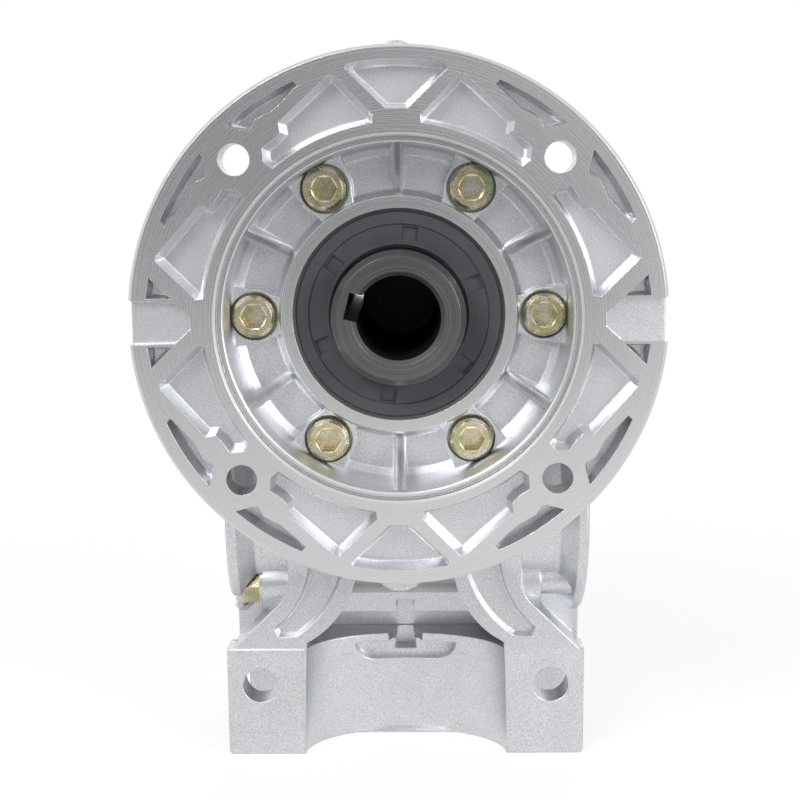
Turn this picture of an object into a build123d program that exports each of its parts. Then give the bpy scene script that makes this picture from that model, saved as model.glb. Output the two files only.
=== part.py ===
from build123d import *
import math
import os

# Worm gear reducer with a hollow output shaft, an output flange and cast feet.
# The origin is on the output axis, in the middle plane of the wheel. The output axis is Y and
# the flange faces -Y. The worm axis is X, below the output axis, and the input bore faces +X.
# All sizes are millimetres.

# Gear pair
MODULE = 3.15
WHEEL_TEETH = 30
WORM_PITCH_D = 31.5
PRESSURE_ANGLE = 20.0
FLANK_CLEARANCE = 0.28
WHEEL_FACE_WIDTH = 26.0
WORM_THREAD_LENGTH = 44.0
DEDENDUM_FACTOR = 1.2

# Output shaft and its bore
OUTPUT_BORE_D = 25.0
OUTPUT_KEY_WIDTH = 8.0
OUTPUT_KEY_REACH = 15.8
OUTPUT_KEY_ANGLE = 166.0
OUTPUT_SHAFT_D = 40.0
OUTPUT_SHAFT_LENGTH = 96.0
OUTPUT_SHAFT_EDGE = 1.8
BORE_EDGE = 1.3
BORE_CAP_DEPTH = 79.0
BORE_CAP_LENGTH = 7.0
BORE_CAP_SEAT = 0.5

# Wheel hub and key
HUB_D = 58.0
HUB_HALF_LENGTH = 16.0
RIM_SEAT_R = 36.0
RIM_SEAT_WALL = 4.0
WEB_HALF_WIDTH = 5.0
WHEEL_KEY_WIDTH = 8.0
WHEEL_KEY_SINK = 3.5
WHEEL_KEY_PROUD = 3.0
WHEEL_KEY_LENGTH = 25.0

# Output bearings and seals
OUTPUT_BEARING_OD = 62.0
OUTPUT_BEARING_WIDTH = 12.0
OUTPUT_BALL_D = 6.75
OUTPUT_BALLS = 15
SEAL_WIDTH = 7.0
SEAL_LIP_GAP = 0.15
SEAL_SHOULDER = 1.0

# Output flange
FLANGE_D = 155.0
FLANGE_THICKNESS = 11.0
FLANGE_SETBACK = 9.0
FLANGE_PCD = 130.0
FLANGE_HOLE_D = 9.0
REGISTER_D = 105.0
REGISTER_DEPTH = 3.0
CUP_D = 101.0
CUP_WALL = 5.0
CUP_FLOOR_DEPTH = 24.0
RING_DEPTH = 20.0
RING_OUTER_R = 36.0
PANEL_OUTER_R = 47.6
POCKET_DEPTH = 5.5
RIM_POCKET_DEPTH = 7.0
POCKET_DRAFT = 12.0
RIM_POCKET_DRAFT = 5.0
POCKET_FOOT = 0.7
POCKET_FOOT_DRAFT = 35.0
SIDE_RECESS_DEPTH = 2.2
LOW_LUG_R = 8.2
LOW_LUG_PROUD = 3.3
TOP_LUG_R = 7.2
TOP_LUG_PROUD = 1.2
COVER_BOLT_PCD = 87.0
COVER_BOLTS = 6
BOLT_D = 8.0
BOLT_HEAD_D = 12.8
BOLT_HEAD_H = 8.0
BOLT_SOCKET_AF = 6.8
BOLT_SEAT_DEPTH = 26.0
BOLT_LENGTH = 14.0
COUNTERBORE_D = 14.6
BOSS_R = 8.2
GUSSET_WIDTH = 3.8
GASKET_T = 0.5
HUB_SPIGOT_D = 74.0

# Housing
HOUSING_HALF = 25.0
CHAMBER_HALF = 15.0
REAR_SPIGOT_D = 106.0
REAR_JOINT_WIDTH = 9.0
CHAMBER_STEP = 0.5
TUBE_R = 33.0
INPUT_FACE_X = 58.0
END_FACE_X = -54.0
RIM_FACE_D = 76.0
RIM_BAND = 3.2
RIM_FLARE = 5.0
WORM_CAVITY_R = 27.0
TUBE_WALL_DROP = 3.0
SIDE_WALL_INSET = 0.5
SIDE_WALL_HALF = 13.0
SIDE_WALL_BOTTOM = 115.0
BELLY_HALF = 15.0
BELLY_DROP = 99.0
CORE_HALF = 8.0
MACHINING_GAP = 1.0
INPUT_BOLT_PCD = 65.0
INPUT_BOLT_HOLE_D = 4.2
INPUT_BOLT_DEPTH = 12.0
INPUT_LUG_R = 4.6
CASE_JOINT_DROP = 24.0
END_JOINT_X = -30.0
INPUT_JOINT_X = 24.0
BELLY_GAP_HALF = 2.8
BELLY_GAP_HEIGHT = 4.0

# Feet
BASE_DROP = 140.0
FOOT_HALF = 33.0
FOOT_PLATE_T = 10.0
FOOT_SHIFT = 1.1
FOOT_INNER_X = 32.4
FOOT_OUTER_X = 56.1
FOOT_TOP_DROP = 105.5
FOOT_HOLE_D = 11.0
FOOT_HOLE_X = 45.8
FOOT_HOLE_RISE = 22.7
WAIST_HALF = 13.0
WAIST_LIP_HALF = 17.0
WAIST_WALL = 6.0
LEDGE_DROP = 105.5
LIP_T = 2.6
RECESS_HALF_WIDTH = 16.3
RECESS_HEIGHT = 8.7
RECESS_CORNER_R = 6.5
RECESS_DEPTH = 3.2
STRUT_GROOVE_DEPTH = 3.0
STRUT_BACK = 13.0
STRUT_LEAN = 4.0

# Rear cover
REAR_COVER_T = 6.5
REAR_HUB_R = 37.0
REAR_BOLT_ANGLES = (-35, 0, 35, 70, 110, 145, 180, 215)
REAR_RIBS = 8
REAR_BOLT_D = 6.0
REAR_BOLT_HEAD_D = 10.0
REAR_BOLT_HEAD_H = 6.0
REAR_BOLT_LENGTH = 18.0
REAR_BOLT_SOCKET_AF = 5.0

# Worm shaft
INPUT_BORE_D = 14.0
INPUT_BORE_DEPTH = 30.0
WORM_FACE_INSET = 3.0
INPUT_KEY_WIDTH = 5.0
INPUT_KEY_REACH = 9.3
INPUT_BEARING_ID = 30.0
INPUT_BEARING_OD = 55.0
INPUT_BEARING_WIDTH = 13.0
INPUT_BEARING_X = 35.5
INPUT_BALL_D = 7.1
INPUT_BALLS = 11
INPUT_SHOULDER_D = 35.0
INPUT_SEAL_INSET = 0.5
END_BEARING_ID = 17.0
END_BEARING_OD = 40.0
END_BEARING_WIDTH = 12.0
END_BEARING_X = -33.0
END_BALL_D = 6.7
END_BALLS = 8
END_SHOULDER_D = 22.0
WORM_NECK_D = 23.0
CIRCLIP_T = 1.6
CIRCLIP_GROOVE = 1.3
CIRCLIP_RING = 4.0
END_CAP_T = 5.0
END_CAP_INSET = 1.2

# Oil plugs
PLUG_THREAD_D = 10.0
PLUG_AF = 12.0
PLUG_HEAD_H = 6.5
PLUG_WASHER_D = 14.5
PLUG_WASHER_T = 1.0
PLUG_LENGTH = 10.0
PLUG_BOSS_R = 9.0
DRAIN_X = -44.0
DRAIN_Y = -20.0
DRAIN_DROP = 87.0
BOSS_INNER_X = 34.0
FILLER_RISE = 4.0

# Derived places
WHEEL_PITCH_R = MODULE * WHEEL_TEETH / 2
WORM_PITCH_R = WORM_PITCH_D / 2
CENTRE_DISTANCE = WHEEL_PITCH_R + WORM_PITCH_R
WORM_LEAD = math.pi * MODULE
WORM_TIP_R = WORM_PITCH_R + MODULE
WORM_ROOT_R = WORM_PITCH_R - DEDENDUM_FACTOR * MODULE
WHEEL_TIP_R = WHEEL_PITCH_R + MODULE
WHEEL_ROOT_R = WHEEL_PITCH_R - DEDENDUM_FACTOR * MODULE
WHEEL_BASE_R = WHEEL_PITCH_R * math.cos(math.radians(PRESSURE_ANGLE))
SHAFT_HALF = OUTPUT_SHAFT_LENGTH / 2
FACE_Y = -(SHAFT_HALF + FLANGE_SETBACK)
SHAFT_R = OUTPUT_SHAFT_D / 2
BEARING_R = OUTPUT_BEARING_OD / 2
BEARING_IN = HUB_HALF_LENGTH
BEARING_OUT = BEARING_IN + OUTPUT_BEARING_WIDTH
SEAL_IN = BEARING_OUT + SEAL_SHOULDER
SEAL_OUT = SEAL_IN + SEAL_WIDTH
SEAL_LAND_R = BEARING_R - 1.5
JOINT_Y = HOUSING_HALF + GASKET_T
SPIGOT_R = HUB_SPIGOT_D / 2
CUP_R = CUP_D / 2
COVER_BOLT_R = COVER_BOLT_PCD / 2
PLATE_BACK_Y = FACE_Y + FLANGE_THICKNESS
BORE_CAP_FRONT = -SHAFT_HALF + BORE_CAP_DEPTH
BORE_CAP_R = OUTPUT_BORE_D / 2 + BORE_CAP_SEAT
CHAMBER_R = REAR_SPIGOT_D / 2 - CHAMBER_STEP
RING_R = REAR_SPIGOT_D / 2 + REAR_JOINT_WIDTH
REAR_BOLT_R = REAR_SPIGOT_D / 2 + REAR_JOINT_WIDTH / 2
WORM_FACE_X = INPUT_FACE_X - WORM_FACE_INSET
FILLER_Z = RING_R + FILLER_RISE
WORM_AXIS = Pos(0, 0, -CENTRE_DISTANCE) * Rot(0, 0, -90)
WORM_UP = Pos(0, 0, -CENTRE_DISTANCE) * Rot(0, 90, 0)


def turned(points):
    """Solid of revolution about Y from an outline of radius and Y pairs."""
    return revolve(make_face(Polyline(points, close=True)), Axis.Y)


def tube(outer_r, inner_r, start, end):
    """Plain ring about Y between two places on that axis."""
    points = [(inner_r, start), (outer_r, start), (outer_r, end), (inner_r, end)]
    return turned(points)


def rod(radius, start, end):
    """Round bar about Y between two places on that axis."""
    middle = (start + end) / 2
    return Pos(0, middle, 0) * Rot(90, 0, 0) * Cylinder(radius, abs(end - start))


def rod_x(radius, start, end, y=0.0, z=0.0):
    """Round bar along X at a place in Y and Z."""
    middle = (start + end) / 2
    return Pos(middle, y, z) * Rot(0, 90, 0) * Cylinder(radius, abs(end - start))


def block(x_range, y_range, z_range):
    """Box between three pairs of limits."""
    size = [pair[1] - pair[0] for pair in (x_range, y_range, z_range)]
    middle = [(pair[1] + pair[0]) / 2 for pair in (x_range, y_range, z_range)]
    return Pos(*middle) * Box(*size)


def slab(face, front, back):
    """Solid of an X and Z face between a front and a back place in Y."""
    return Pos(0, front, 0) * extrude(face, back - front, dir=(0, 1, 0))


def around(shape, count, start=0.0):
    """Copies of a shape, evenly spaced about Y."""
    step = 360 / count
    return [Rot(0, -(start + step * index), 0) * shape for index in range(count)]


def polar(radius, angle):
    """X and Z of a point at a radius and an angle from +X towards +Z."""
    turn = math.radians(angle)
    return (radius * math.cos(turn), radius * math.sin(turn))


def write(shape, name):
    """Keep one node as a STEP file."""
    shape.label = name
    export_step(shape, os.path.join("parts", name + ".step"))


def group(shapes):
    """Several separate solids in one node."""
    solids = []
    for shape in shapes:
        solids.extend(shape.solids())
    return Compound(children=solids)


def socket_screw(diameter, head_d, head_h, socket_af, length):
    """Socket head screw along Y, its seat at 0, its head towards -Y and its shank towards +Y."""
    edge = head_h * 0.12
    head_r = head_d / 2
    head_points = [(0, 0), (head_r, 0), (head_r, -head_h + edge), (head_r - edge, -head_h), (0, -head_h)]
    tip = diameter * 0.1
    shank_r = diameter / 2
    shank_points = [(0, 0), (shank_r, 0), (shank_r, length - tip), (shank_r - tip, length), (0, length)]
    screw = turned(head_points) + turned(shank_points)
    across = socket_af / math.cos(math.radians(30)) / 2
    hexagon = Plane.XZ * RegularPolygon(across, 6)
    socket = Pos(0, -head_h, 0) * extrude(hexagon, head_h * 0.55, dir=(0, 1, 0))
    lead_in = turned([(0, -head_h), (across, -head_h), (0, -head_h + across * 0.35)])
    return screw - socket - lead_in


def hex_plug():
    """Oil plug along Y, its seat at 0, its head towards -Y and its thread towards +Y."""
    across = PLUG_AF / math.cos(math.radians(30)) / 2
    hexagon = Plane.XZ * RegularPolygon(across, 6)
    head = extrude(hexagon, PLUG_HEAD_H, dir=(0, -1, 0))
    edge = across - PLUG_AF / 2
    bevel_points = [(0, 0), (across, 0), (across, -PLUG_HEAD_H + edge * 0.7),
                    (PLUG_AF / 2, -PLUG_HEAD_H), (0, -PLUG_HEAD_H)]
    thread_r = PLUG_THREAD_D / 2
    tip = 1.0
    thread_points = [(0, 0), (thread_r, 0), (thread_r, PLUG_LENGTH - tip),
                     (thread_r - tip, PLUG_LENGTH), (0, PLUG_LENGTH)]
    return (head & turned(bevel_points)) + turned(thread_points)


def plug_washer():
    """Sealing washer under a plug's head, its seat at 0 towards +Y."""
    return tube(PLUG_WASHER_D / 2, PLUG_THREAD_D / 2 + 0.1, -PLUG_WASHER_T, 0)


def ball_bearing(inner_d, outer_d, width, ball_d, balls):
    """Outer ring, inner ring, balls and cage of a ball bearing about Y, from 0 to its width."""
    inner_r = inner_d / 2
    outer_r = outer_d / 2
    pitch_r = (inner_r + outer_r) / 2
    groove_r = ball_d / 2 + 0.25
    shoulder = ball_d * 0.32
    edge = 0.6
    middle = width / 2
    groove = Pos(0, middle, 0) * Rot(90, 0, 0) * Torus(pitch_r, groove_r)
    outer_points = [(pitch_r + shoulder, 0), (outer_r - edge, 0), (outer_r, edge), (outer_r, width - edge),
                    (outer_r - edge, width), (pitch_r + shoulder, width)]
    inner_points = [(pitch_r - shoulder, 0), (inner_r + edge, 0), (inner_r, edge), (inner_r, width - edge),
                    (inner_r + edge, width), (pitch_r - shoulder, width)]
    outer_ring = turned(outer_points) - groove
    inner_ring = turned(inner_points) - groove
    ball = Pos(pitch_r, middle, 0) * Sphere(ball_d / 2)
    pocket = Pos(pitch_r, middle, 0) * Rot(0, 90, 0) * Cylinder(ball_d / 2 + 0.3, ball_d)
    cage_half = min(width / 2 - 0.8, ball_d / 2 + 1.2)
    cage = tube(pitch_r + 0.9, pitch_r - 0.9, middle - cage_half, middle + cage_half)
    for cutter in around(pocket, balls):
        cage = cage - cutter
    return outer_ring, inner_ring, group(around(ball, balls)), cage


def at_angles(shape, angles):
    """Copies of a shape at given angles about Y."""
    return [Rot(0, -angle, 0) * shape for angle in angles]


def mirrored_y(shape):
    """The same shape on the other side of the wheel's middle plane."""
    return mirror(shape, Plane.XZ)


def wheel_profile(turn):
    """Outline of the wheel's toothed rim, turned by an angle in degrees about its axis."""
    pitch_half = math.pi / (2 * WHEEL_TEETH) - FLANK_CLEARANCE / 2 / WHEEL_PITCH_R
    pressure = math.radians(PRESSURE_ANGLE)
    pitch_involute = math.tan(pressure) - pressure
    radii = [WHEEL_ROOT_R, WHEEL_BASE_R + 0.9, WHEEL_PITCH_R + 0.4, WHEEL_TIP_R]
    flank = []
    for radius in radii:
        angle = math.acos(min(1.0, WHEEL_BASE_R / radius))
        half = pitch_half + pitch_involute - (math.tan(angle) - angle)
        flank.append((radius, math.degrees(half)))
    points = []
    pitch = 360 / WHEEL_TEETH
    for tooth in range(WHEEL_TEETH):
        centre = 270 + pitch * (tooth + 0.5) + turn
        points += [polar(radius, centre - half) for radius, half in flank]
        points += [polar(radius, centre + half) for radius, half in reversed(flank)]
    return points


def worm_wheel_rim():
    """Bronze rim with helical teeth that lie in the worm's thread."""
    half = WHEEL_FACE_WIDTH / 2
    twist = math.degrees(WORM_LEAD / (2 * math.pi * WORM_PITCH_R) * half / WHEEL_PITCH_R)
    sections = []
    for place, turn in ((-half, twist), (half, -twist)):
        outline = Polyline([(x, place, z) for x, z in wheel_profile(turn)], close=True)
        sections.append(Face(Wire(outline.edges())))
    rim = loft(sections, ruled=True)
    rim = rim - rod(RIM_SEAT_R, -half - 1, half + 1)
    slope = 1.6
    keep = turned([(0, -half), (WHEEL_TIP_R - slope, -half), (WHEEL_TIP_R + 0.1, -half + slope),
                   (WHEEL_TIP_R + 0.1, half - slope), (WHEEL_TIP_R - slope, half), (0, half)])
    return rim & keep


def wheel_hub():
    """Cast hub that carries the bronze rim on the output shaft."""
    hub_r = HUB_D / 2
    seat_half = WHEEL_FACE_WIDTH / 2 - 1
    seat_in = RIM_SEAT_R - RIM_SEAT_WALL
    points = [(SHAFT_R, -HUB_HALF_LENGTH), (hub_r - 1, -HUB_HALF_LENGTH), (hub_r, -HUB_HALF_LENGTH + 1),
              (hub_r, -WEB_HALF_WIDTH), (seat_in, -WEB_HALF_WIDTH), (seat_in, -seat_half),
              (RIM_SEAT_R, -seat_half), (RIM_SEAT_R, seat_half), (seat_in, seat_half),
              (seat_in, WEB_HALF_WIDTH), (hub_r, WEB_HALF_WIDTH), (hub_r, HUB_HALF_LENGTH - 1),
              (hub_r - 1, HUB_HALF_LENGTH), (SHAFT_R, HUB_HALF_LENGTH)]
    key_slot = block((-WHEEL_KEY_WIDTH / 2, WHEEL_KEY_WIDTH / 2), (-HUB_HALF_LENGTH - 1, HUB_HALF_LENGTH + 1),
                     (0, SHAFT_R + WHEEL_KEY_PROUD))
    return turned(points) - key_slot


def wheel_key():
    """Key between the output shaft and the hub."""
    half = WHEEL_KEY_LENGTH / 2
    straight = half - WHEEL_KEY_WIDTH / 2
    low = SHAFT_R - WHEEL_KEY_SINK
    high = SHAFT_R + WHEEL_KEY_PROUD
    key = block((-WHEEL_KEY_WIDTH / 2, WHEEL_KEY_WIDTH / 2), (-straight, straight), (low, high))
    end = Cylinder(WHEEL_KEY_WIDTH / 2, high - low)
    for side in (-1, 1):
        key = key + Pos(0, side * straight, (low + high) / 2) * end
    return key


def output_shaft():
    """Hollow output shaft with a keyed bore."""
    bore_r = OUTPUT_BORE_D / 2
    points = [(bore_r + BORE_EDGE, -SHAFT_HALF), (SHAFT_R - OUTPUT_SHAFT_EDGE, -SHAFT_HALF),
              (SHAFT_R, -SHAFT_HALF + OUTPUT_SHAFT_EDGE), (SHAFT_R, SHAFT_HALF - OUTPUT_SHAFT_EDGE),
              (SHAFT_R - OUTPUT_SHAFT_EDGE, SHAFT_HALF), (BORE_CAP_R + BORE_EDGE, SHAFT_HALF),
              (BORE_CAP_R, SHAFT_HALF - BORE_EDGE), (BORE_CAP_R, BORE_CAP_FRONT), (bore_r, BORE_CAP_FRONT),
              (bore_r, -SHAFT_HALF + BORE_EDGE)]
    shaft = turned(points)
    keyway = block((0, OUTPUT_KEY_REACH), (-SHAFT_HALF - 1, SHAFT_HALF + 1),
                   (-OUTPUT_KEY_WIDTH / 2, OUTPUT_KEY_WIDTH / 2))
    return shaft - Rot(0, -OUTPUT_KEY_ANGLE, 0) * keyway - wheel_key()


def bore_end_cap():
    """Closing cap in the rear of the output bore, with stepped rings on the face seen from the front."""
    front = BORE_CAP_FRONT
    back = front + BORE_CAP_LENGTH
    rim_r = BORE_CAP_R
    points = [(0, front), (3.0, front), (3.0, front + 0.6), (6.2, front + 0.6), (6.2, front),
              (8.4, front), (8.4, front + 0.6), (10.2, front + 0.6), (10.2, front), (rim_r, front),
              (rim_r, back), (rim_r - 1.8, back), (rim_r - 1.8, front + 2.4), (0, front + 2.4)]
    return turned(points)


def output_seal():
    """Front lip seal of the output shaft, with six small recesses on its face."""
    lip_r = SHAFT_R + SEAL_LIP_GAP
    face = -SEAL_OUT
    back = -SEAL_IN
    groove_r = 27.3
    points = [(lip_r, face + 1.4), (lip_r + 1.0, face + 0.3), (lip_r + 1.6, face + 0.3),
              (lip_r + 1.9, face + 0.9), (groove_r - 0.3, face + 0.5), (groove_r, face + 0.1),
              (BEARING_R - 0.4, face), (BEARING_R, face + 0.4), (BEARING_R, back),
              (BEARING_R - 2, back), (BEARING_R - 2, face + 3.0), (lip_r + 3.5, face + 3.0),
              (lip_r + 2.0, back - 0.8), (lip_r, face + 4.4), (lip_r + 0.5, face + 3.4)]
    seal = turned(points)
    recess = block((22.3, 26.6), (face - 0.5, face + 1.5), (-2.4, 2.4))
    for cutter in around(recess, 6, 22):
        seal = seal - cutter
    return seal


def pocket_faces():
    """Outlines of the cast pockets in one quarter of the flange's face, with their depths."""
    kite_arc = ThreePointArc((-6.9, 55.6), (-21.5, 51.6), (-35.2, 43.4))
    kite_rest = [(-35.2, 43.4), (-37.6, 45.2), (-37.9, 49.2), (-34.6, 51.4), (-32.8, 53.4), (-33.2, 56.2),
                 (-19.2, 68.8), (-17.6, 69.0), (-6.6, 57.9), (-6.9, 55.6)]
    kite = make_face(Curve() + kite_arc + Polyline(kite_rest))
    rim_r = 73.3
    rim_start = polar(rim_r, 131.0)
    rim_end = polar(rim_r, 113.2)
    rim_arc = ThreePointArc(rim_start, polar(rim_r, 122.0), rim_end)
    rim_rest = [rim_end, (-27.6, 66.2), (-35.0, 59.2), (-37.4, 58.2), (-39.9, 56.8), (-41.2, 54.0),
                (-43.2, 54.0), rim_start]
    rim = make_face(Curve() + rim_arc + Polyline(rim_rest))
    triangle = make_face(Polyline([(-72.2, 6.9), (-64.9, 6.9), (-71.2, 13.0)], close=True))
    return kite, rim, triangle


def top_pocket_face():
    """Outline of the pocket at the top of the flange's face."""
    top_r = 73.4
    left = polar(top_r, 101.0)
    right = polar(top_r, 79.0)
    arc = ThreePointArc(left, (0, top_r), right)
    rest = Polyline([right, (14.4, 70.6), (3.2, 59.8), (-3.2, 59.8), (-14.4, 70.6), left])
    return make_face(Curve() + arc + rest)


def pocket_cutter(face, depth, draft):
    """Pocket of a face, whose X and Y are taken as X and Z, with drafted walls and a rounded floor."""
    placed = Plane(origin=(0, FACE_Y, 0), x_dir=(1, 0, 0), z_dir=(0, -1, 0)) * face
    walls = extrude(placed, -(depth - POCKET_FOOT), taper=draft)
    floor = walls.faces().sort_by(Axis.Y)[-1]
    foot = extrude(floor, POCKET_FOOT, taper=POCKET_FOOT_DRAFT)
    skin = extrude(placed, 1.0)
    return walls + foot + skin


def flange_pockets():
    """Cast pockets of the flange's face in all four quarters."""
    kite, rim, triangle = pocket_faces()
    diagonal = Plane(origin=(0, 0, 0), z_dir=(1, 0, 1))
    cutters = []
    for face, depth, draft in ((kite, POCKET_DEPTH, POCKET_DRAFT), (rim, RIM_POCKET_DEPTH, RIM_POCKET_DRAFT)):
        cutter = pocket_cutter(face, depth, draft)
        cutters += [cutter, mirror(cutter, diagonal)]
    cutters.append(pocket_cutter(triangle, POCKET_DEPTH, RIM_POCKET_DRAFT))
    cutters += [mirror(cutter, Plane.YZ) for cutter in cutters]
    cutters.append(pocket_cutter(top_pocket_face(), POCKET_DEPTH, POCKET_DRAFT))
    cutters += [mirror(cutter, Plane.XY) for cutter in cutters]
    return cutters


def flange_cup_details(flange):
    """Raised bosses, gussets and the machined ring in the bottom of the flange's cup."""
    floor = FACE_Y + CUP_FLOOR_DEPTH
    ring_top = FACE_Y + RING_DEPTH
    boss_circle = Pos(COVER_BOLT_R, 0) * Circle(BOSS_R)
    flare = make_face(Polyline([(RING_OUTER_R - 1, -5.4), (COVER_BOLT_R, -8.0), (CUP_R + 1, -9.4),
                                (CUP_R + 1, 9.4), (COVER_BOLT_R, 8.0), (RING_OUTER_R - 1, 5.4)], close=True))
    boss_face = Plane.XZ * (boss_circle + flare)
    boss = slab(boss_face, ring_top + 0.8, floor + 2)
    gusset_points = [(RING_OUTER_R + 1.6, floor + 1), (RING_OUTER_R + 1.6, floor - 0.6),
                     (CUP_R + 1, FACE_Y + REGISTER_DEPTH + 1.0), (CUP_R + 1, floor + 1)]
    gusset_face = make_face(Polyline(gusset_points, close=True))
    gusset = Pos(0, 0, -GUSSET_WIDTH / 2) * extrude(gusset_face, GUSSET_WIDTH, dir=(0, 0, 1))
    gusset = fillet(gusset.edges().filter_by(lambda edge: abs(edge.center().Z) > GUSSET_WIDTH / 2 - 0.01)
                    .sort_by(Axis.Y)[:2], GUSSET_WIDTH * 0.42)
    keep = rod(CUP_R + 0.5, FACE_Y, floor + 3)
    for shape in around(boss & keep, COVER_BOLTS):
        flange = flange + shape
    for shape in around(gusset & keep, COVER_BOLTS, 180 / COVER_BOLTS):
        flange = flange + shape
    counterbore = Pos(COVER_BOLT_R, 0, 0) * rod(COUNTERBORE_D / 2, ring_top - 2, FACE_Y + BOLT_SEAT_DEPTH)
    hole = Pos(COVER_BOLT_R, 0, 0) * rod(BOLT_D / 2 + 0.1, ring_top, 0)
    for cutter in around(counterbore + hole, COVER_BOLTS):
        flange = flange - cutter
    return flange


def output_flange():
    """Output flange with its register, deep cup, seal seat and bearing seat."""
    face = FACE_Y
    plate_back = PLATE_BACK_Y
    floor = face + CUP_FLOOR_DEPTH
    ring_top = face + RING_DEPTH
    outer = FLANGE_D / 2
    edge = 0.8
    cup_outer = CUP_R + CUP_WALL
    cup_step = face + REGISTER_DEPTH
    seal_mouth = BEARING_R + 1.0
    points = [(REGISTER_D / 2 + 0.7, face), (outer - edge, face), (outer, face + edge),
              (outer, plate_back - 2), (outer - 2, plate_back), (cup_outer + 3, plate_back),
              (cup_outer, plate_back + 3), (cup_outer, -JOINT_Y), (SPIGOT_R - 0.05, -JOINT_Y),
              (SPIGOT_R - 0.05, -BEARING_IN), (BEARING_R, -BEARING_IN), (BEARING_R, -BEARING_OUT),
              (SEAL_LAND_R, -BEARING_OUT), (SEAL_LAND_R, -SEAL_IN), (BEARING_R, -SEAL_IN),
              (BEARING_R, -SEAL_OUT), (seal_mouth, ring_top), (RING_OUTER_R - 0.6, ring_top),
              (RING_OUTER_R, ring_top + 0.6), (RING_OUTER_R + 0.8, floor - 0.8),
              (RING_OUTER_R + 1.6, floor), (PANEL_OUTER_R, floor), (CUP_R - 0.8, floor - 1.8),
              (CUP_R, floor - 4), (CUP_R, cup_step + 0.6), (CUP_R + 0.6, cup_step),
              (REGISTER_D / 2, cup_step), (REGISTER_D / 2, face + 0.7)]
    flange = turned(points)
    lug_z = outer + LOW_LUG_PROUD - LOW_LUG_R
    top_lug_z = outer + TOP_LUG_PROUD - TOP_LUG_R
    lug = Pos(0, 0, -lug_z) * rod(LOW_LUG_R, face + 4.0, plate_back)
    top_lug = Pos(0, 0, top_lug_z) * rod(TOP_LUG_R, face + 4.0, plate_back)
    flange = flange + lug + top_lug
    rib_points = [(cup_outer - 1, plate_back - 1), (outer - 7, plate_back - 1), (outer - 9, plate_back + 1),
                  (cup_outer - 1, -FOOT_HALF - MACHINING_GAP)]
    rib_face = make_face(Polyline(rib_points, close=True))
    rib = Pos(0, 0, -2.2) * extrude(rib_face, 4.4, dir=(0, 0, 1))
    for shape in around(rib, 8, 22.5):
        flange = flange + shape
    flange = flange_cup_details(flange)
    for cutter in flange_pockets():
        flange = flange - cutter
    side_recess = Polyline([(-outer - 4, -6.4), (-64.0, -6.0), (-59.4, -1.9), (-59.4, 1.9),
                            (-64.0, 6.0), (-outer - 4, 6.4)], close=True)
    recess_face = Plane.XZ * make_face(side_recess)
    recess = slab(recess_face, face - 1, face + SIDE_RECESS_DEPTH)
    notch = slab(Plane.XZ * (Pos(-outer, 0) * Rectangle(1.8, 13.0)), face - 1, face + 7)
    flange = flange - recess - mirror(recess, Plane.YZ) - notch - mirror(notch, Plane.YZ)
    hole_r = FLANGE_HOLE_D / 2
    hole = Pos(FLANGE_PCD / 2, 0, 0) * rod(hole_r, face - 1, plate_back + 1)
    for cutter in around(hole, 4, 45):
        flange = flange - cutter
    return flange


def output_flange_sections():
    """The output flange in two sections that meet at the back of its plate: the plate and the cup behind it."""
    flange = output_flange()
    reach = FLANGE_D
    plate = flange & block((-reach, reach), (FACE_Y - 1, PLATE_BACK_Y), (-reach, reach))
    cup = flange & block((-reach, reach), (PLATE_BACK_Y, 0), (-reach, reach))
    return plate, cup


def joint_gasket():
    """Flat gasket between the flange and the front of the housing."""
    gasket = tube(CUP_R + CUP_WALL, SPIGOT_R + 0.3, -JOINT_Y, -HOUSING_HALF)
    hole = Pos(COVER_BOLT_R, 0, 0) * rod(BOLT_D / 2 + 0.3, -JOINT_Y - 1, 0)
    for cutter in around(hole, COVER_BOLTS):
        gasket = gasket - cutter
    return gasket


def flange_screws():
    """Six socket head screws that hold the flange on the housing."""
    seat = FACE_Y + BOLT_SEAT_DEPTH
    screw = socket_screw(BOLT_D, BOLT_HEAD_D, BOLT_HEAD_H, BOLT_SOCKET_AF, BOLT_LENGTH)
    placed = Pos(COVER_BOLT_R, seat, 0) * screw
    return group(around(placed, COVER_BOLTS))


def rear_cover():
    """Rear cover with the second bearing and seal seat."""
    joint = JOINT_Y
    face = joint + REAR_COVER_T
    hub_end = SEAL_OUT + 1.0
    spigot_r = REAR_SPIGOT_D / 2 - 0.05
    points = [(BEARING_R, BEARING_IN), (SPIGOT_R, BEARING_IN), (SPIGOT_R + 1.5, joint - 5),
              (spigot_r - 6, joint - 5), (spigot_r - 5, BEARING_IN), (spigot_r - 1, BEARING_IN),
              (spigot_r, BEARING_IN + 1), (spigot_r, joint), (RING_R, joint), (RING_R, face - 1.2),
              (RING_R - 1.2, face), (REAR_HUB_R + 5, face), (REAR_HUB_R, face + 2.5),
              (REAR_HUB_R - 1, hub_end), (BEARING_R + 1, hub_end), (BEARING_R, SEAL_OUT),
              (BEARING_R, SEAL_IN), (SEAL_LAND_R, SEAL_IN), (SEAL_LAND_R, BEARING_OUT),
              (BEARING_R, BEARING_OUT)]
    cover = turned(points)
    rib_face = make_face(Polyline([(REAR_HUB_R - 1.5, face - 1), (RING_R - 10, face - 1),
                                   (RING_R - 11, face + 0.8), (REAR_HUB_R - 1.5, hub_end - 1)], close=True))
    rib = Pos(0, 0, -1.8) * extrude(rib_face, 3.6, dir=(0, 0, 1))
    for shape in around(rib, REAR_RIBS, 180 / REAR_RIBS):
        cover = cover + shape
    hole = Pos(REAR_BOLT_R, 0, 0) * rod(REAR_BOLT_D / 2 + 0.1, joint - 1, face + 1)
    for cutter in at_angles(hole, REAR_BOLT_ANGLES):
        cover = cover - cutter
    return cover


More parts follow.
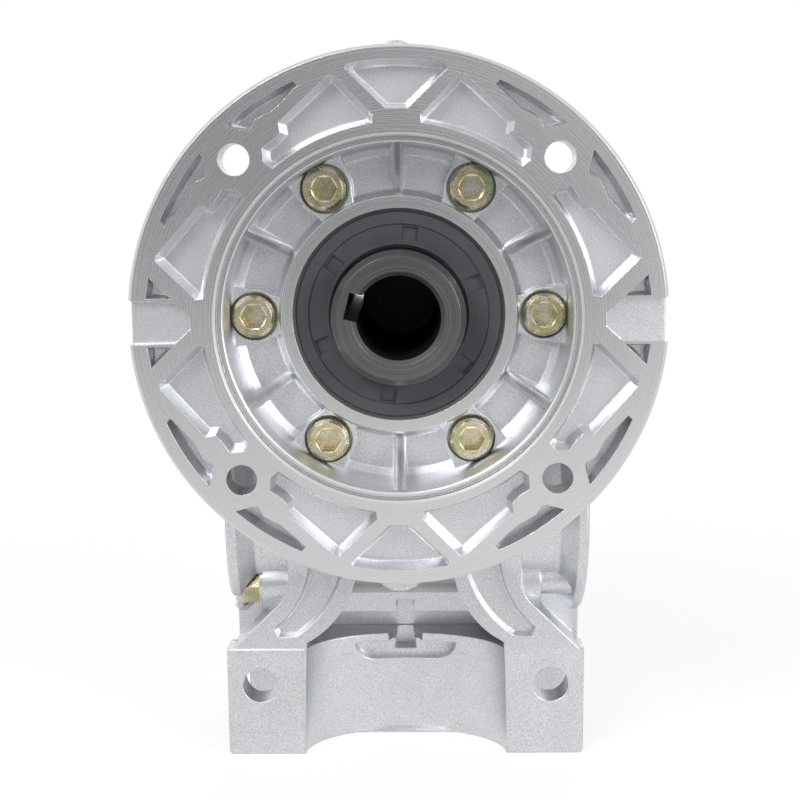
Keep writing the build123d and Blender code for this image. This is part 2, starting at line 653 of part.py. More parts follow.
def rear_gasket():
    """Flat gasket between the rear cover and the housing."""
    gasket = tube(RING_R, REAR_SPIGOT_D / 2 + 0.3, HOUSING_HALF, JOINT_Y)
    hole = Pos(REAR_BOLT_R, 0, 0) * rod(REAR_BOLT_D / 2 + 0.3, HOUSING_HALF - 1, JOINT_Y + 1)
    for cutter in at_angles(hole, REAR_BOLT_ANGLES):
        gasket = gasket - cutter
    return gasket


def rear_screws():
    """Eight socket head screws that hold the rear cover."""
    seat = JOINT_Y + REAR_COVER_T
    screw = socket_screw(REAR_BOLT_D, REAR_BOLT_HEAD_D, REAR_BOLT_HEAD_H, REAR_BOLT_SOCKET_AF, REAR_BOLT_LENGTH)
    placed = Pos(REAR_BOLT_R, seat, 0) * Rot(180, 0, 0) * screw
    return group(at_angles(placed, REAR_BOLT_ANGLES))


def strut(side):
    """Rib from a foot up to the ring, with a leaf-shaped groove, on the front."""
    outer = [(-54.6, -FOOT_TOP_DROP), (-39.6, -91.0)]
    outer_arc = ThreePointArc((-39.6, -91.0), (-37.3, -87.4), (-36.6, -83.2))
    top = [(-36.6, -83.2), (-36.6, -45.0), (-15.2, -56.0), (-15.2, -81.0)]
    inner_arc = ThreePointArc((-15.2, -81.0), (-19.3, -92.6), (-31.0, -103.5))
    closing = [(-31.0, -103.5), (-31.0, -FOOT_TOP_DROP), (-54.6, -FOOT_TOP_DROP)]
    face = Plane.XZ * make_face(Curve() + Polyline(outer) + outer_arc + Polyline(top) + inner_arc
                                + Polyline(closing))
    body = slab(face, -FOOT_HALF, -STRUT_BACK)
    outer_line = ThreePointArc((-30.0, -76.0), (-32.8, -88.0), (-41.0, -98.8))
    groove_end = Polyline([(-41.0, -98.8), (-39.8, -101.6), (-34.2, -101.3)])
    inner_line = ThreePointArc((-34.2, -101.3), (-24.4, -91.6), (-19.4, -80.0))
    groove_top = Polyline([(-19.4, -80.0), (-19.4, -64.0), (-30.0, -64.0), (-30.0, -76.0)])
    groove_face = make_face(Curve() + outer_line + groove_end + inner_line + groove_top)
    placed = Plane(origin=(0, -FOOT_HALF, 0), x_dir=(1, 0, 0), z_dir=(0, -1, 0)) * groove_face
    groove = extrude(placed, -STRUT_GROOVE_DEPTH, taper=12)
    hinge = Pos(0, -FOOT_HALF, -FOOT_TOP_DROP)
    body = hinge * Rot(-STRUT_LEAN, 0, 0) * Pos(0, FOOT_HALF, FOOT_TOP_DROP) * (body - groove)
    if side > 0:
        return mirror(body, Plane.YZ)
    return body


def foot_plate(side):
    """Front plate of one foot, with its fixing hole."""
    low = -BASE_DROP
    plate = block((FOOT_INNER_X, FOOT_OUTER_X), (-FOOT_HALF, -FOOT_HALF + FOOT_PLATE_T), (low, -FOOT_TOP_DROP))
    corner = plate.edges().filter_by(Axis.Y).sort_by(Axis.Z)[:2]
    plate = fillet(corner, 1.6)
    through = rod(FOOT_HOLE_D / 2, -FOOT_HALF - 1, -FOOT_HALF + FOOT_PLATE_T + 1)
    hole = Pos(FOOT_HOLE_X, 0, low + FOOT_HOLE_RISE) * through
    plate = plate - hole
    if side < 0:
        return mirror(plate, Plane.YZ)
    return plate


def waist():
    """Middle of the base between the feet, hollowed to a curved scoop on its front and rear."""
    low = -BASE_DROP
    body = block((-FOOT_INNER_X - 1, FOOT_INNER_X + 1), (-FOOT_HALF, FOOT_HALF), (low, -LEDGE_DROP))
    depth = FOOT_HALF - WAIST_HALF
    height = BASE_DROP - LEDGE_DROP
    lean = math.degrees(math.atan2(WAIST_LIP_HALF - WAIST_HALF, height))
    scoop = Pos(0, 0, -2) * extrude(Ellipse(FOOT_INNER_X - 0.6, depth), height + 12)
    scoop = Pos(0, -FOOT_HALF, low) * Rot(lean, 0, 0) * scoop
    body = body - scoop - mirrored_y(scoop)
    side_trim = block((FOOT_INNER_X, FOOT_INNER_X + 2), (-FOOT_HALF + FOOT_PLATE_T, FOOT_HALF - FOOT_PLATE_T),
                      (low - 1, -LEDGE_DROP + 1))
    return body - side_trim - mirror(side_trim, Plane.YZ)


def ledge_cuts():
    """Notch, slot and half oval recess in the middle of the waist's front lip."""
    lip = -WAIST_LIP_HALF
    top = -LEDGE_DROP
    notch_plan = make_face(Polyline([(-7.0, lip - 3), (7.0, lip - 3), (1.8, lip + 7.5), (-1.8, lip + 7.5)], close=True))
    notch = Pos(0, 0, top - LIP_T - 0.1) * extrude(notch_plan, LIP_T + 1)
    slot_low = top - RECESS_HEIGHT + LIP_T
    slot_face = Plane.XZ * make_face(Polyline([(-3.6, slot_low), (3.6, slot_low), (2.4, top + 1), (-2.4, top + 1)],
                                              close=True))
    slot = slab(slot_face, lip - 3, lip + 8.5)
    oval = fillet(Rectangle(2 * RECESS_HALF_WIDTH, 2 * RECESS_HEIGHT).vertices(), RECESS_CORNER_R)
    recess = slab(Plane.XZ * (Pos(0, top) * oval), lip - 8, lip + RECESS_DEPTH)
    wide = RECESS_HALF_WIDTH + 1
    above = block((-wide, wide), (-FOOT_HALF, 0), (top - LIP_T, top + RECESS_HEIGHT + 1))
    return [Pos(FOOT_SHIFT, 0, 0) * cutter for cutter in (notch, slot, recess - above)]


def worm_tube():
    """Tube around the worm with a machined rim at each end and lugs behind the input side's holes."""
    rim_r = RIM_FACE_D / 2
    edge = 0.8
    left = END_FACE_X
    right = INPUT_FACE_X
    points = [(0, left), (rim_r - edge, left), (rim_r, left + edge), (rim_r, left + RIM_BAND),
              (TUBE_R, left + RIM_BAND + RIM_FLARE), (TUBE_R, right - RIM_BAND - RIM_FLARE),
              (rim_r, right - RIM_BAND), (rim_r, right - edge), (rim_r - edge, right), (0, right)]
    body = turned(points)
    lug_back = right - RIM_BAND - INPUT_BOLT_DEPTH
    lug = Pos(INPUT_BOLT_PCD / 2, 0, 0) * rod(INPUT_LUG_R, lug_back, right - RIM_BAND)
    for shape in around(lug, 4, 45):
        body = body + shape
    return WORM_AXIS * body


def side_walls():
    """Walls below the worm tube's ends, the belly and core between them, and the shoulder up to the ring."""
    worm_z = -CENTRE_DISTANCE
    left = END_FACE_X + SIDE_WALL_INSET
    right = INPUT_FACE_X - SIDE_WALL_INSET
    inner = FOOT_INNER_X - 1
    wall_y = (-SIDE_WALL_HALF, SIDE_WALL_HALF)
    wall_z = (-SIDE_WALL_BOTTOM, worm_z)
    walls = block((left, FOOT_SHIFT - inner), wall_y, wall_z) + block((FOOT_SHIFT + inner, right), wall_y, wall_z)
    belly = block((-FOOT_INNER_X, FOOT_INNER_X), (-BELLY_HALF, BELLY_HALF), (-BELLY_DROP, worm_z))
    gap = block((FOOT_SHIFT - BELLY_GAP_HALF, FOOT_SHIFT + BELLY_GAP_HALF), (-BELLY_HALF - 1, -CORE_HALF),
                (-BELLY_DROP - 1, -BELLY_DROP + BELLY_GAP_HEIGHT))
    belly = belly - gap - mirrored_y(gap)
    core = block((-FOOT_INNER_X, FOOT_INNER_X), (-CORE_HALF, CORE_HALF), wall_z)
    shoulder = block((left + 2, right - 2), wall_y, (worm_z, 0))
    return walls + belly + core + shoulder


def housing_half_features():
    """Feet and struts on the front, and mirrored to the rear."""
    front = Pos(FOOT_SHIFT, 0, 0) * (foot_plate(-1) + foot_plate(1) + strut(-1) + strut(1))
    return front, mirrored_y(front)


def housing():
    """Cast housing: wheel chamber ring, worm tube, side walls, struts and feet."""
    ring = turned([(0, -HOUSING_HALF), (RING_R - 1.2, -HOUSING_HALF), (RING_R, -HOUSING_HALF + 1.2),
                   (RING_R, HOUSING_HALF - 0.6), (RING_R - 0.6, HOUSING_HALF), (0, HOUSING_HALF)])
    body = ring + worm_tube() + side_walls() + Pos(FOOT_SHIFT, 0, 0) * waist()
    for shape in housing_half_features():
        body = body + shape
    for cutter in ledge_cuts():
        body = body - cutter - mirrored_y(cutter)
    spot_r = PLUG_WASHER_D / 2 + 0.4
    spot = rod_x(spot_r, END_FACE_X - 1, DRAIN_X, DRAIN_Y, -DRAIN_DROP)
    boss = rod_x(PLUG_BOSS_R, DRAIN_X, -BOSS_INNER_X, DRAIN_Y, -DRAIN_DROP)
    top_boss = Pos(0, 0, RING_R - 1) * Cylinder(PLUG_BOSS_R, 2 * FILLER_RISE + 2)
    body = body - spot + boss + mirror(boss, Plane.YZ) + top_boss
    return housing_cavities(body)


def cells(body, x_ranges, y_ranges, z_ranges):
    """Parts of a body in each cell of a grid of ranges, as a list of solids."""
    found = []
    for x_range in x_ranges:
        for y_range in y_ranges:
            for z_range in z_ranges:
                found += (body & block(x_range, y_range, z_range)).solids()
    return found


def foot_base_blocks(base):
    """The base as plain blocks: foot plates, ends of the waist, and its roof and walls around the hollow."""
    reach = BASE_DROP * 2
    level = (-reach, reach)
    foot_in = FOOT_INNER_X
    hollow_end = FOOT_INNER_X - WAIST_WALL
    middle = RECESS_HALF_WIDTH + 0.7
    stops = [FOOT_SHIFT + x for x in (-reach, -foot_in, -hollow_end, -middle, middle, hollow_end, foot_in, reach)]
    spans = list(zip(stops[:-1], stops[1:]))
    plate_back = FOOT_HALF - FOOT_PLATE_T
    feet = cells(base, [spans[0], spans[-1]], [(-reach, -plate_back), (-plate_back, plate_back), (plate_back, reach)],
                 [level])
    roof = (-LEDGE_DROP - WAIST_WALL, 0)
    walls = (-reach, -LEDGE_DROP - WAIST_WALL)
    ends = cells(base, [spans[1], spans[-2]], [level], [level])
    solids = feet + ends + cells(base, spans[2:-2], [level], [roof])
    return solids + cells(base, spans[2:-2], [(-reach, 0), (0, reach)], [walls])


def housing_sections():
    """The housing in sections that meet in flat planes: wheel case, the worm case's three lengths, foot base."""
    body = housing()
    reach = BASE_DROP * 2
    level = (-reach, reach)
    wheel_case = body & block(level, level, (-CASE_JOINT_DROP, reach))
    worm_z = (-LEDGE_DROP, -CASE_JOINT_DROP)
    end_case = body & block((-reach, END_JOINT_X), level, worm_z)
    worm_case = body & block((END_JOINT_X, INPUT_JOINT_X), level, worm_z)
    above = (-CENTRE_DISTANCE, -CASE_JOINT_DROP)
    below = (-LEDGE_DROP, -CENTRE_DISTANCE)
    input_case = group(cells(body, [(INPUT_JOINT_X, reach)], [(-reach, 0), (0, reach)], [above, below]))
    foot_base = group(foot_base_blocks(body & block(level, level, (-reach, -LEDGE_DROP))))
    return wheel_case, end_case, worm_case, input_case, foot_base


def housing_cavities(body):
    """Chamber, bores, threads and hollows taken out of the housing."""
    worm_z = -CENTRE_DISTANCE
    low = -BASE_DROP
    chamber = turned([(0, -CHAMBER_HALF), (CHAMBER_R, -CHAMBER_HALF), (CHAMBER_R, CHAMBER_HALF),
                      (REAR_SPIGOT_D / 2, CHAMBER_HALF), (REAR_SPIGOT_D / 2, HOUSING_HALF + 1), (0, HOUSING_HALF + 1)])
    front_bore = rod(SPIGOT_R, -HOUSING_HALF - 1, 0)
    flange_seat = tube(CUP_R + CUP_WALL + MACHINING_GAP, 0, -FOOT_HALF - 8, -HOUSING_HALF)
    rear_seat = tube(RING_R + MACHINING_GAP, 0, HOUSING_HALF, FOOT_HALF + 8)
    body = body - flange_seat - rear_seat
    body = body - chamber - front_bore
    end_in = END_BEARING_X
    input_in = INPUT_BEARING_X
    lip = TUBE_WALL_DROP
    end_r = END_BEARING_OD / 2
    input_r = INPUT_BEARING_OD / 2
    end_clip = end_in - END_BEARING_WIDTH
    input_clip = input_in + INPUT_BEARING_WIDTH
    bore_points = [(0, END_FACE_X - 1), (end_r, END_FACE_X - 1), (end_r, end_clip - CIRCLIP_T),
                   (end_r + CIRCLIP_GROOVE, end_clip - CIRCLIP_T), (end_r + CIRCLIP_GROOVE, end_clip),
                   (end_r, end_clip), (end_r, end_in), (end_r - lip, end_in), (end_r - lip, end_in + 2),
                   (WORM_CAVITY_R, end_in + 4), (WORM_CAVITY_R, input_in - lip), (input_r - lip, input_in - lip),
                   (input_r - lip, input_in), (input_r, input_in), (input_r, input_clip),
                   (input_r + CIRCLIP_GROOVE, input_clip), (input_r + CIRCLIP_GROOVE, input_clip + CIRCLIP_T),
                   (input_r, input_clip + CIRCLIP_T), (input_r, INPUT_FACE_X + 1), (0, INPUT_FACE_X + 1)]
    body = body - WORM_AXIS * turned(bore_points)
    thread = Pos(COVER_BOLT_R, 0, 0) * rod(BOLT_D / 2, -HOUSING_HALF - 1, -CHAMBER_HALF + 1)
    for cutter in around(thread, COVER_BOLTS):
        body = body - cutter
    rear_end = JOINT_Y + REAR_COVER_T - REAR_BOLT_LENGTH - 2
    rear_thread = Pos(REAR_BOLT_R, 0, 0) * rod(REAR_BOLT_D / 2, rear_end, HOUSING_HALF + 1)
    for cutter in at_angles(rear_thread, REAR_BOLT_ANGLES):
        body = body - cutter
    hole_end = INPUT_FACE_X - INPUT_BOLT_DEPTH
    input_hole = Pos(INPUT_BOLT_PCD / 2, 0, 0) * rod(INPUT_BOLT_HOLE_D / 2, hole_end, INPUT_FACE_X + 1)
    for cutter in around(input_hole, 4, 45):
        body = body - WORM_AXIS * cutter
    plug_r = PLUG_THREAD_D / 2
    drain_end = DRAIN_X + PLUG_LENGTH + 8
    drain = rod_x(plug_r, DRAIN_X - 1, drain_end, DRAIN_Y, -DRAIN_DROP)
    reach_y = DRAIN_Y
    reach_z = CENTRE_DISTANCE - DRAIN_DROP
    reach = math.hypot(reach_y, reach_z)
    turn = math.degrees(math.atan2(reach_z, reach_y))
    passage_bar = Pos(drain_end - 3.5, 0, worm_z) * Rot(turn, 0, 0) * rod(3.0, WORM_CAVITY_R - 4, reach)
    filler = Pos(0, 0, FILLER_Z) * Cylinder(plug_r, 2 * (FILLER_Z - CHAMBER_R) + 2)
    body = body - drain - passage_bar - filler
    hollow_top = -LEDGE_DROP - WAIST_WALL
    inner = FOOT_INNER_X - WAIST_WALL
    hollow_y = (-WAIST_HALF + WAIST_WALL, WAIST_HALF - WAIST_WALL)
    base_hollow = block((FOOT_SHIFT - inner, FOOT_SHIFT + inner), hollow_y, (low - 1, hollow_top))
    return body - base_hollow


def worm_section():
    """Cross section of the single thread: a root circle that swells to the crest and back."""
    pitch_half = WORM_LEAD / 4 - FLANK_CLEARANCE / 2
    slope = math.tan(math.radians(PRESSURE_ANGLE))
    tip_half = pitch_half - (WORM_TIP_R - WORM_PITCH_R) * slope
    root_half = pitch_half + (WORM_PITCH_R - WORM_ROOT_R) * slope
    tip_angle = 360 * tip_half / WORM_LEAD
    root_angle = 360 * root_half / WORM_LEAD
    steps = 6

    def flank(sign):
        points = []
        for index in range(steps + 1):
            share = index / steps
            radius = WORM_TIP_R + (WORM_ROOT_R - WORM_TIP_R) * share
            angle = 180 + sign * (tip_angle + (root_angle - tip_angle) * share)
            points.append(polar(radius, angle))
        return points

    rising = flank(-1)
    falling = flank(1)
    crest = ThreePointArc(rising[0], (-WORM_TIP_R, 0), falling[0])
    root = ThreePointArc(falling[-1], (WORM_ROOT_R, 0), rising[-1])
    return make_face(Curve() + crest + Spline(falling) + root + Spline(list(reversed(rising))))


def worm_shaft():
    """Hardened worm in one piece with its hollow input end."""
    half = WORM_THREAD_LENGTH / 2
    turns = 360 * WORM_THREAD_LENGTH / WORM_LEAD
    start = Pos(0, 0, -half) * Rot(0, 0, -turns / 2) * worm_section()
    thread = Solid.extrude_linear_with_rotation(start.faces()[0], (0, 0, -half), (0, 0, WORM_THREAD_LENGTH), turns)
    neck = WORM_NECK_D / 2
    end_r = END_BEARING_ID / 2
    input_r = INPUT_BEARING_ID / 2
    shoulder = INPUT_SHOULDER_D / 2
    end_x = END_BEARING_X
    input_x = INPUT_BEARING_X
    end_tip = end_x - END_BEARING_WIDTH - 1.5
    tip = 1.0
    left_points = [(0, end_tip), (end_r - tip, end_tip), (end_r, end_tip + tip), (end_r, end_x),
                   (END_SHOULDER_D / 2, end_x), (END_SHOULDER_D / 2, -half + 0.5), (0, -half + 0.5)]
    face = WORM_FACE_X
    right_points = [(0, half - 0.5), (neck, half - 0.5), (neck, input_x - 8.5), (shoulder, input_x - 7),
                    (shoulder, input_x), (input_r, input_x), (input_r, face - tip), (input_r - tip, face), (0, face)]
    shaft = thread + Rot(90, 0, 0) * (turned(left_points) + turned(right_points))
    bore_start = face - INPUT_BORE_DEPTH
    bore = Pos(0, 0, (bore_start + face + 1) / 2) * Cylinder(INPUT_BORE_D / 2, INPUT_BORE_DEPTH + 1)
    slot_start = face - INPUT_BORE_DEPTH
    keyway = block((-INPUT_KEY_REACH, 0), (-INPUT_KEY_WIDTH / 2, INPUT_KEY_WIDTH / 2), (slot_start, face + 1))
    return WORM_UP * (shaft - bore - keyway)


def circlip(bore_r, place):
    """Open spring ring in a housing groove of the worm tube."""
    ring = tube(bore_r + CIRCLIP_GROOVE - 0.1, bore_r + CIRCLIP_GROOVE - CIRCLIP_RING, place, place + CIRCLIP_T)
    opening = block((-4.5, 4.5), (place - 1, place + CIRCLIP_T + 1), (-bore_r - 3, -bore_r + 8))
    lugs = [Pos(side * 6.6, place + CIRCLIP_T / 2, -bore_r + 3.4) * Rot(90, 0, 0) * Cylinder(2.6, CIRCLIP_T)
            for side in (-1, 1)]
    eyes = [Pos(side * 6.6, place + CIRCLIP_T / 2, -bore_r + 3.4) * Rot(90, 0, 0) * Cylinder(1.1, CIRCLIP_T + 1)
            for side in (-1, 1)]
    ring = ring - opening
    for lug in lugs:
        ring = ring + lug
    for eye in eyes:
        ring = ring - eye
    return WORM_AXIS * ring


def input_seal():
    """Lip seal around the hollow input end."""
    outer_r = INPUT_BEARING_OD / 2
    lip_r = INPUT_BEARING_ID / 2 + SEAL_LIP_GAP
    face = INPUT_FACE_X - INPUT_SEAL_INSET
    back = face - SEAL_WIDTH
    points = [(lip_r, face - 4.6), (lip_r + 1.2, face - 3.6), (lip_r + 2.2, face - 0.8), (lip_r + 4, face - 0.3),
              (outer_r - 0.5, face), (outer_r, face - 0.5), (outer_r, back), (outer_r - 2, back),
              (outer_r - 2, face - 3), (lip_r + 4, face - 3), (lip_r + 2.4, back + 0.6), (lip_r + 0.8, face - 5.6)]
    return WORM_AXIS * turned(points)


def worm_end_cap():
    """Pressed closing cap in the closed end of the worm tube."""
    outer_r = END_BEARING_OD / 2
    face = END_FACE_X + END_CAP_INSET
    back = face + END_CAP_T
    points = [(0, face + 1.0), (outer_r - 4, face + 1.0), (outer_r - 3, face), (outer_r - 0.6, face),
              (outer_r, face + 0.6), (outer_r, back), (outer_r - 1.8, back), (outer_r - 1.8, face + 3), (0, face + 3)]
    return WORM_AXIS * turned(points)


def drain_place(shape):
    """A plug shape moved to the drain boss, its head towards -X."""
    return Pos(DRAIN_X, DRAIN_Y, -DRAIN_DROP) * Rot(0, 0, -90) * shape


def filler_place(shape):
    """A plug shape moved to the top boss, its head towards +Z."""
    return Pos(0, 0, FILLER_Z) * Rot(-90, 0, 0) * shape


def main():
    os.makedirs("parts", exist_ok=True)
    housing_names = ("wheel_case", "end_case", "worm_case", "input_case", "foot_base")
    for section, name in zip(housing_sections(), housing_names):
        write(section, name)
    for section, name in zip(output_flange_sections(), ("flange_plate", "flange_cup")):
        write(section, name)
    write(joint_gasket(), "flange_gasket")
    write(flange_screws(), "flange_screws")
    write(output_seal(), "front_seal")
    write(rear_cover(), "rear_cover")
    write(rear_gasket(), "rear_gasket")
    write(rear_screws(), "rear_screws")
    write(mirrored_y(output_seal()), "rear_seal")
    write(output_shaft(), "output_shaft")
    write(wheel_key(), "wheel_key")
    write(wheel_hub(), "wheel_hub")
    write(worm_wheel_rim(), "wheel_rim")
    write(bore_end_cap(), "bore_end_cap")
    write(worm_shaft(), "worm_shaft")
    output_bearing = ball_bearing(OUTPUT_SHAFT_D, OUTPUT_BEARING_OD, OUTPUT_BEARING_WIDTH, OUTPUT_BALL_D, OUTPUT_BALLS)
    names = ("outer_ring", "inner_ring", "balls", "cage")
    for shape, name in zip(output_bearing, names):
        rear = Pos(0, BEARING_IN, 0) * shape
        write(rear, "rear_bearing_" + name)
        write(mirrored_y(rear), "front_bearing_" + name)
    input_bearing = ball_bearing(INPUT_BEARING_ID, INPUT_BEARING_OD, INPUT_BEARING_WIDTH, INPUT_BALL_D, INPUT_BALLS)
    end_bearing = ball_bearing(END_BEARING_ID, END_BEARING_OD, END_BEARING_WIDTH, END_BALL_D, END_BALLS)
    for shape, name in zip(input_bearing, names):
        write(WORM_AXIS * Pos(0, INPUT_BEARING_X, 0) * shape, "input_bearing_" + name)
    for shape, name in zip(end_bearing, names):
        write(WORM_AXIS * Pos(0, END_BEARING_X - END_BEARING_WIDTH, 0) * shape, "end_bearing_" + name)
    write(circlip(INPUT_BEARING_OD / 2, INPUT_BEARING_X + INPUT_BEARING_WIDTH), "input_circlip")
    write(circlip(END_BEARING_OD / 2, END_BEARING_X - END_BEARING_WIDTH - CIRCLIP_T), "end_circlip")
    write(input_seal(), "input_seal")
    write(worm_end_cap(), "worm_end_cap")
    lift = Pos(0, -PLUG_WASHER_T, 0)
    write(drain_place(lift * hex_plug()), "drain_plug")
    write(drain_place(plug_washer()), "drain_washer")
    write(filler_place(lift * hex_plug()), "filler_plug")
    write(filler_place(plug_washer()), "filler_washer")


main()
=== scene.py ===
import logging
import math
from collections.abc import Callable
from dataclasses import dataclass, field
from enum import Enum
from typing import Any

import bmesh
import bpy
from mathutils import Matrix, Vector
from mathutils.bvhtree import BVHTree


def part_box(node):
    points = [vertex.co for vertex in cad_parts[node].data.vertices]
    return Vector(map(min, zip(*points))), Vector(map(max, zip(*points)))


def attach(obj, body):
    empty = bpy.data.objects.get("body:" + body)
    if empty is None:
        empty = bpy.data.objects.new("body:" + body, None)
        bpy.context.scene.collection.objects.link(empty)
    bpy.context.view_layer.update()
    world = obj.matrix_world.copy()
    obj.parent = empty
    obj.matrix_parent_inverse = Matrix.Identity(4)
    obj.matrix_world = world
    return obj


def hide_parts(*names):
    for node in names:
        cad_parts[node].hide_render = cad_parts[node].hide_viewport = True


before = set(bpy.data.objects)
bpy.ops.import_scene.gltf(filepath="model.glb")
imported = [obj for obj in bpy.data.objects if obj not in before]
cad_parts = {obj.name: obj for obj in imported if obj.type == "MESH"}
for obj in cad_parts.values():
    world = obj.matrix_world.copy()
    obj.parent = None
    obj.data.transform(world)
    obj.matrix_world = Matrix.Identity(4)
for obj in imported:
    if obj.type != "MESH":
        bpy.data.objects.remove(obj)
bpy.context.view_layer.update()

# Worm gear reducer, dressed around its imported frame. Lengths are metres. The output axis is Y and
# the flange faces -Y, the worm axis is X below it, and Z is up.

log = logging.getLogger("reducer")

MM = 0.001
FACE_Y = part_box("flange_plate")[0].y
FLANGE_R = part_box("flange_plate")[1].x
BASE_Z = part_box("foot_base")[0].z
INPUT_FACE_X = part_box("input_case")[1].x
END_FACE_X = -54 * MM
WORM_Z = -63 * MM
FLANGE_NODES = ("flange_plate", "flange_cup")
HOUSING_NODES = ("wheel_case", "end_case", "worm_case", "input_case", "foot_base")
NOISE_LOW = 0.3
NOISE_HIGH = 0.7
BEVEL_SAMPLES = 4

Colour = tuple[float, float, float]
Place = tuple[float, float, float]


class Turning(Enum):
    """Axis that a lathe tool ran about."""

    OUTPUT = "Y"
    WORM = "X"


class Surface(Enum):
    """How a face is finished. A rim that is faced along with its bore counts as bored."""

    CAST = 0
    FACED = 1
    BORED = 2


class Graph:
    """Node tree of one new material, with its principled shader."""

    def __init__(self, name: str) -> None:
        """Start a material with an empty tree.

        Args:
            name: name of the material.
        """
        self.material = bpy.data.materials.new(name)
        self.material.use_nodes = True
        self.tree = self.material.node_tree
        self.tree.nodes.clear()
        self.output = self.tree.nodes.new("ShaderNodeOutputMaterial")
        self.shader = self.tree.nodes.new("ShaderNodeBsdfPrincipled")
        self.join(self.shader.outputs["BSDF"], self.output.inputs["Surface"])

    def join(self, source: bpy.types.NodeSocket, target: bpy.types.NodeSocket) -> None:
        """Link two sockets."""
        self.tree.links.new(source, target)

    def set(self, **values: object) -> None:
        """Set plain values on the shader's own sockets, with spaces written as underscores."""
        for name, value in values.items():
            self.shader.inputs[name.replace("_", " ")].default_value = value

    def coordinates(self) -> bpy.types.NodeSocket:
        """Give the object's own coordinates."""
        return self.tree.nodes.new("ShaderNodeTexCoord").outputs["Object"]

    def noise(self, vector: bpy.types.NodeSocket, size: float,
              detail: float = 2.0) -> bpy.types.NodeSocket:
        """Give a noise field.

        Args:
            vector: coordinates it is read at.
            size: size of its grains in metres.
            detail: how many finer layers are added.

        Returns:
            The socket with a value from 0 to 1.
        """
        node = self.tree.nodes.new("ShaderNodeTexNoise")
        node.inputs["Scale"].default_value = 1 / size
        node.inputs["Detail"].default_value = detail
        self.join(vector, node.inputs["Vector"])
        return node.outputs["Fac"]

    def rings(self, turning: Turning, size: float, detail: float = 3.0) -> bpy.types.NodeSocket:
        """Give noise that changes only with the distance from an axis.

        Args:
            turning: the axis.
            size: width of a ring in metres.
            detail: how many finer layers are added.

        Returns:
            The socket with a value from 0 to 1.
        """
        shift = self.tree.nodes.new("ShaderNodeVectorMath")
        shift.operation = "MULTIPLY_ADD"
        along_x = turning is Turning.WORM
        shift.inputs[1].default_value = (0, 1, 1) if along_x else (1, 0, 1)
        shift.inputs[2].default_value = (0, 0, -WORM_Z) if along_x else (0, 0, 0)
        self.join(self.coordinates(), shift.inputs[0])
        length = self.tree.nodes.new("ShaderNodeVectorMath")
        length.operation = "LENGTH"
        self.join(shift.outputs[0], length.inputs[0])
        node = self.tree.nodes.new("ShaderNodeTexNoise")
        node.noise_dimensions = "1D"
        node.inputs["Scale"].default_value = 1 / size
        node.inputs["Detail"].default_value = detail
        self.join(length.outputs["Value"], node.inputs["W"])
        return node.outputs["Fac"]

    def spread(self, value: bpy.types.NodeSocket, low: float, high: float, start: float = 0.0,
               end: float = 1.0) -> bpy.types.NodeSocket:
        """Map a value to a range.

        Args:
            value: the value.
            low: result at the start.
            high: result at the end.
            start: value that gives the low result.
            end: value that gives the high result.

        Returns:
            The socket with the mapped value.
        """
        node = self.tree.nodes.new("ShaderNodeMapRange")
        node.inputs["From Min"].default_value = start
        node.inputs["From Max"].default_value = end
        node.inputs["To Min"].default_value = low
        node.inputs["To Max"].default_value = high
        self.join(value, node.inputs["Value"])
        return node.outputs["Result"]

    def grained(self, noise: bpy.types.NodeSocket, low: float, high: float) -> bpy.types.NodeSocket:
        """Map the middle of a noise field, where most of it lies, to a range.

        Args:
            noise: the noise field.
            low: result at its low values.
            high: result at its high values.

        Returns:
            The socket with the mapped value.
        """
        return self.spread(noise, low, high, NOISE_LOW, NOISE_HIGH)

    def weighted(self, value: bpy.types.NodeSocket, weight: float,
                 rest: bpy.types.NodeSocket) -> bpy.types.NodeSocket:
        """Add a share of one value to another.

        Args:
            value: value that is weighted.
            weight: its share.
            rest: value it is added to.

        Returns:
            The socket with the sum.
        """
        node = self.tree.nodes.new("ShaderNodeMath")
        node.operation = "MULTIPLY_ADD"
        node.inputs[1].default_value = weight
        self.join(value, node.inputs[0])
        self.join(rest, node.inputs[2])
        return node.outputs[0]

    def blend(self, factor: bpy.types.NodeSocket, first: Colour, second: Colour) -> bpy.types.NodeSocket:
        """Mix two colours.

        Args:
            factor: share of the second colour.
            first: colour at 0.
            second: colour at 1.

        Returns:
            The socket with the mixed colour.
        """
        node = self.tree.nodes.new("ShaderNodeMix")
        node.data_type = "RGBA"
        node.inputs[6].default_value = (*first, 1)
        node.inputs[7].default_value = (*second, 1)
        self.join(factor, node.inputs[0])
        return node.outputs[2]

    def soft_edges(self, radius: float) -> bpy.types.NodeSocket:
        """Give a normal that rounds the edges by a radius in metres."""
        node = self.tree.nodes.new("ShaderNodeBevel")
        node.samples = BEVEL_SAMPLES
        node.inputs["Radius"].default_value = radius
        return node.outputs["Normal"]

    def bump(self, height: bpy.types.NodeSocket, depth: float, normal: bpy.types.NodeSocket) -> None:
        """Give the shader a bump.

        Args:
            height: height from 0 to 1.
            depth: depth of the relief in metres.
            normal: normal that the bump is added to.
        """
        node = self.tree.nodes.new("ShaderNodeBump")
        node.inputs["Distance"].default_value = depth
        self.join(height, node.inputs["Height"])
        self.join(normal, node.inputs["Normal"])
        self.join(node.outputs["Normal"], self.shader.inputs["Normal"])

